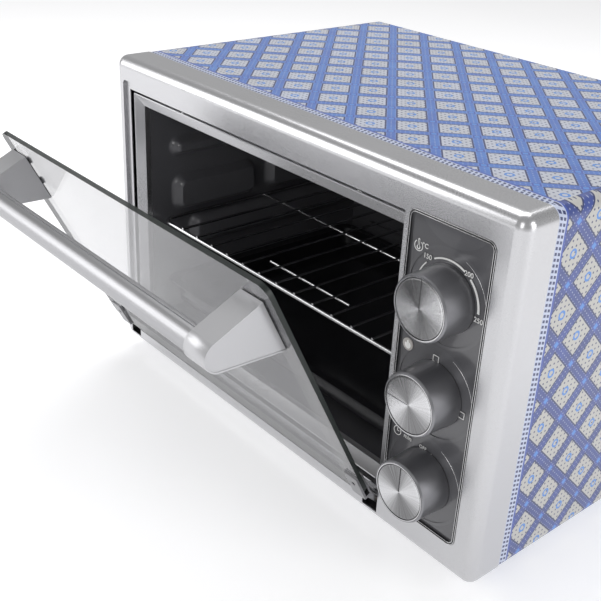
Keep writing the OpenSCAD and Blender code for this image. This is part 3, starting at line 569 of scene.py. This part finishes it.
softbox("left_softbox", (-1.6, -1.5, 0.9), (0, -0.1, 0.15), (1.1, 1.3), 15)
softbox("front_softbox", (0.9, -2.0, 1.1), (0.1, 0, 0.15), (0.7, 1.3), 9)
softbox("top_softbox", (-0.5, 0.6, 1.9), (0, 0, 0.2), (1.8, 1.2), 23)
softbox("right_softbox", (1.9, 0.5, 0.8), (0.1, 0, 0.15), (0.9, 1.3), 13)

world = bpy.data.worlds.new("studio")
world.use_nodes = True
world.node_tree.nodes["Background"].inputs["Color"].default_value = (1, 1, 1, 1)
world.node_tree.nodes["Background"].inputs["Strength"].default_value = 0.42
bpy.context.scene.world = world


FLOOR_REACH = 6
floor_mesh = bpy.data.meshes.new("studio_floor")
floor_corners = [(x * FLOOR_REACH, y * FLOOR_REACH, 0) for x, y in ((-1, -1), (1, -1), (1, 1), (-1, 1))]
floor_mesh.from_pydata(floor_corners, [], [(0, 1, 2, 3)])
floor = bpy.data.objects.new("studio_floor", floor_mesh)
bpy.context.scene.collection.objects.link(floor)
floor_mesh.materials.append(studio_floor().material)


# ---------- Cavity walls with embossed ridges ----------

def ridge_height(y, z, ridges, slope=7.0):
    """From 0 on the flat wall to 1 on the top of a ridge, with soft slanted sides."""
    best = 0.0
    for y0, y1, z0, z1, r in ridges:
        dy = abs(y - (y0 + y1) / 2) - (y1 - y0) / 2 + r
        dz = abs(z - (z0 + z1) / 2) - (z1 - z0) / 2 + r
        outside = hypot(max(dy, 0), max(dz, 0)) + min(max(dy, dz), 0) - r
        share = min(1, max(0, -outside / slope))
        best = max(best, share * share * (3 - 2 * share))
    return best


# Each ridge of a side wall, in mm: start and end in depth, start and end in height, corner radius.
SIDE_RIDGES = (
    (38, 285, 205, 225.5, 9),
    (40, 145, 145.5, 185, 12),
    (160, 285, 145.5, 185, 12),
    (60, 285, 103, 139, 12),
    (60, 285, 56, 75, 8),
)
SHEET = 0.75
WALL_INSET = 0.8


def embossed_wall(node, side):
    """Pressed cavity wall that takes the place of a CAD wall: side is -1 on the left and 1 on the right."""
    low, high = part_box(node)
    wall_x = (low.x if side < 0 else high.x) / MM - side * WALL_INSET
    reach = (high.x - low.x) / MM - WALL_INSET
    y0, y1 = (low.y - FRONT) / MM, (high.y - FRONT) / MM
    z0, z1 = (low.z - BASE) / MM, (high.z - BASE) / MM
    columns, rows = 130, 112

    def make(bm):
        grids = []
        for back in (0.0, SHEET):
            grid = []
            for i in range(columns + 1):
                y = y0 + (y1 - y0) * i / columns
                line = []
                for j in range(rows + 1):
                    z = z0 + (z1 - z0) * j / rows
                    raised = reach * ridge_height(y, z, SIDE_RIDGES)
                    line.append(bm.verts.new(at(wall_x - side * (raised - back), y, z)))
                grid.append(line)
            grids.append(grid)
        for grid in grids:
            for i in range(columns):
                for j in range(rows):
                    bm.faces.new((grid[i][j], grid[i + 1][j], grid[i + 1][j + 1], grid[i][j + 1]))
        inner, outer = grids
        edge = [(i, 0) for i in range(columns)] + [(columns, j) for j in range(rows)]
        edge += [(i, rows) for i in range(columns, 0, -1)] + [(0, j) for j in range(rows, 0, -1)]
        for (i, j), (k, l) in zip(edge, edge[1:] + edge[:1]):
            bm.faces.new((inner[i][j], inner[k][l], outer[k][l], outer[i][j]))

    made = piece(f"embossed_{node}", make, FINISHES["cavity_enamel"], smooth=50)
    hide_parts(node)


embossed_wall("cavity_left_wall", -1)
embossed_wall("cavity_right_wall", 1)


# ---------- Prints on the control panel ----------

INK = print_ink()
INK_Y = PANEL_Y - 0.06
RIM_Y = PANEL_Y + 0.3


def ink(name, maker):
    return piece(name, maker, INK)


def words(name, text, x, z, size):
    """A short generic marking in plain capitals, centred on a point of the panel."""
    curve = bpy.data.curves.new(name, "FONT")
    curve.body = text
    curve.size = size * MM
    curve.extrude = 0.00004
    curve.align_x = "CENTER"
    curve.align_y = "CENTER"
    curve.offset = 0.00004
    holder = bpy.data.objects.new(name + "_curve", curve)
    bpy.context.scene.collection.objects.link(holder)
    holder.location = at(x, INK_Y, z)
    holder.rotation_euler = (pi / 2, 0, 0)
    bpy.context.view_layer.update()
    mesh = bpy.data.meshes.new_from_object(holder.evaluated_get(bpy.context.evaluated_depsgraph_get()))
    mesh.transform(holder.matrix_world)
    made = bpy.data.objects.new(name, mesh)
    bpy.context.scene.collection.objects.link(made)
    bpy.data.objects.remove(holder)
    mesh.materials.clear()
    mesh.materials.append(INK.material)
    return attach(made, "cabinet")


def heat_scale(bm):
    """Band round the temperature dial that widens with the heat, broken at its numbers."""
    cz, radius, steps = DIAL_ZS[0], 29.4, 18
    first, last = -73, 89
    for start, stop in ((first, -47), (-30, 27), (40, last)):
        outer, inner = [], []
        for i in range(steps + 1):
            turn = start + (stop - start) * i / steps
            width = 0.45 + 0.45 * (turn - first) / (last - first)
            outer += arc(DIAL_X, cz, radius + width, turn, turn, 1)[:1]
            inner += arc(DIAL_X, cz, radius - width, turn, turn, 1)[:1]
        strip(bm, outer, inner, INK_Y, RIM_Y, closed=False)


ink("heat_scale", heat_scale)
for number, dx, dz in (("150", -21.0, 24.6), ("200", 17.2, 25.6), ("250", 30.4, -4.3)):
    words(f"number_{number}", number, DIAL_X + dx, DIAL_ZS[0] + dz, 5.4)
words("degrees_mark", "°C", DIAL_X - 24.0, DIAL_ZS[0] + 31.6, 5.2)
words("minutes_mark", "min", DIAL_X - 20.6, DIAL_ZS[2] + 27.1, 5.6)
words("off_mark", "OFF", DIAL_X - 4.4, DIAL_ZS[2] + 26.7, 4.2)


def thermometer_icon(bm):
    cx, cz = DIAL_X - 30.4, DIAL_ZS[0] + 29.7
    strip(bm, arc(cx, cz, 4.2, 35, 325, 30), arc(cx, cz, 3.6, 35, 325, 30), INK_Y, RIM_Y, closed=False)
    bulb = arc(cx, cz - 1.2, 1.7, 28, 332, 16)
    stem = arc(cx, cz + 4.8, 0.8, -90, 90, 8)
    outline = bulb + stem
    slim = [(cx + (x - cx) * 0.55, cz + 1 + (z - cz - 1) * 0.82) for x, z in outline]
    strip(bm, outline, slim, INK_Y, RIM_Y)


def flame_icon(bm):
    low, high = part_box("indicator_lens")
    centre = (low + high) / 2
    cx, cz, y = centre.x / MM, (centre.z - BASE) / MM, (low.y - FRONT) / MM
    left = [(0, -3.6), (-1.6, -3.2), (-2.8, -1.8), (-3.0, 0), (-2.2, 1.5)]
    left += [(-1.8, 0.4), (-1.1, 1.4), (-0.9, 2.9), (0.1, 4.0)]
    right = [(0.6, 2.4), (1.2, 1.1), (1.7, 1.9), (2.4, 1.2), (3.0, -0.4), (2.7, -2.0), (1.5, -3.3)]
    slab(bm, [(cx + x, cz + z) for x, z in left + right], y - 0.05, y + 0.3)


def clock_icon(bm):
    cx, cz = DIAL_X - 31.7, DIAL_ZS[2] + 27.6
    strip(bm, circle(cx, cz, 4.0), circle(cx, cz, 3.4), INK_Y, RIM_Y)
    slab(bm, [(cx - 0.3, cz), (cx + 0.3, cz), (cx + 0.3, cz + 2.6), (cx - 0.3, cz + 2.6)], INK_Y, RIM_Y)
    slab(bm, [(cx + 0.3, cz), (cx + 2.1, cz), (cx + 2.1, cz + 0.6), (cx + 0.3, cz + 0.6)], INK_Y, RIM_Y)


def square_icon(cx, cz):
    def make(bm):
        strip(bm, rounded(cx - 2.8, cx + 2.8, cz - 2.8, cz + 2.8, 0.4, 2),
              rounded(cx - 2.3, cx + 2.3, cz - 2.3, cz + 2.3, 0.2, 2), INK_Y, RIM_Y)
    return make


ink("thermometer_icon", thermometer_icon)
ink("flame_icon", flame_icon)
ink("clock_icon", clock_icon)
ink("top_heat_icon", square_icon(DIAL_X - 2.5, DIAL_ZS[1] + 28.1))
ink("all_heat_icon", square_icon(DIAL_X + 27.2, DIAL_ZS[1] - 4.6))
ink("off_dot", lambda bm: slab(bm, circle(DIAL_X + 4.2, DIAL_ZS[2] + 25.1, 0.7, 20), INK_Y, RIM_Y))


# ---------- Rim of the control panel ----------

HALF_ROUND = (0, 0.25, 0.5, 0.75, 1)


def rim_bead(bm, inset, width, height):
    """A fine raised line round the panel with a half-round section."""
    x0, x1 = PANEL_LOW.x / MM + inset, PANEL_HIGH.x / MM - inset
    z0, z1 = (PANEL_LOW.z - BASE) / MM + inset, (PANEL_HIGH.z - BASE) / MM - inset
    radius = max(6.8 - inset, 1.5)
    rings = []
    for share in HALF_ROUND:
        shift = width * share
        lift = height * sin(pi * share)
        line = rounded(x0 + shift, x1 - shift, z0 + shift, z1 - shift, max(radius - shift, 0.5))
        rings.append([bm.verts.new(at(x, PANEL_Y - 2.0 - lift, z)) for x, z in line])
    rings.append([bm.verts.new(at(x, PANEL_Y + 0.2, z)) for x, z in rounded(
        x0 + width, x1 - width, z0 + width, z1 - width, max(radius - width, 0.5))])
    rings.append([bm.verts.new(at(x, PANEL_Y + 0.2, z)) for x, z in rounded(x0, x1, z0, z1, radius)])
    count = len(rings[0])
    for a, b in zip(rings, rings[1:] + rings[:1]):
        for i in range(count):
            j = (i + 1) % count
            bm.faces.new((a[i], a[j], b[j], b[i]))


for number, (inset, width) in enumerate(((0.05, 0.55), (1.75, 0.5))):
    piece(f"rim_line_{number}", lambda bm: rim_bead(bm, inset, width, 0.15), FINISHES["ring_chrome"],
          smooth=60)


# ---------- Bead on the dish edge round each dial, kept to where its highlight falls ---

DISH_R = 35.7
DISH_BEAD = 0.6


def dish_rim_highlight(cz):
    """A fine half-round bead on the edge of a dish, only on its upper right: a bright arc that stands in for the
    highlight on the dish's rim.
    """
    def make(bm):
        rings = []
        for share in HALF_ROUND:
            lift = 0.16 * sin(pi * share)
            line = arc(DIAL_X, cz, DISH_R + DISH_BEAD * share, 22, 92, 40)
            rings.append([bm.verts.new(at(x, PANEL_Y - 0.02 - lift, z)) for x, z in line])
        for radius in (DISH_R + DISH_BEAD, DISH_R):
            line = arc(DIAL_X, cz, radius, 22, 92, 40)
            rings.append([bm.verts.new(at(x, PANEL_Y + 0.4, z)) for x, z in line])
        count = len(rings[0])
        for a, b in zip(rings, rings[1:] + rings[:1]):
            for i in range(count - 1):
                bm.faces.new((a[i], a[i + 1], b[i + 1], b[i]))
        bm.faces.new([ring[0] for ring in rings])
        bm.faces.new([ring[-1] for ring in rings][::-1])
    return make


for number, cz in enumerate(DIAL_ZS):
    piece(f"dish_rim_highlight_{number}", dish_rim_highlight(cz), FINISHES["ring_chrome"], smooth=60)


# ---------- Softer edges on CAD pieces ----------

for name, width in (("handle_bracket_left", 0.6), ("handle_bracket_right", 0.6), ("baking_tray", 0.4)):
    soften(name, width)
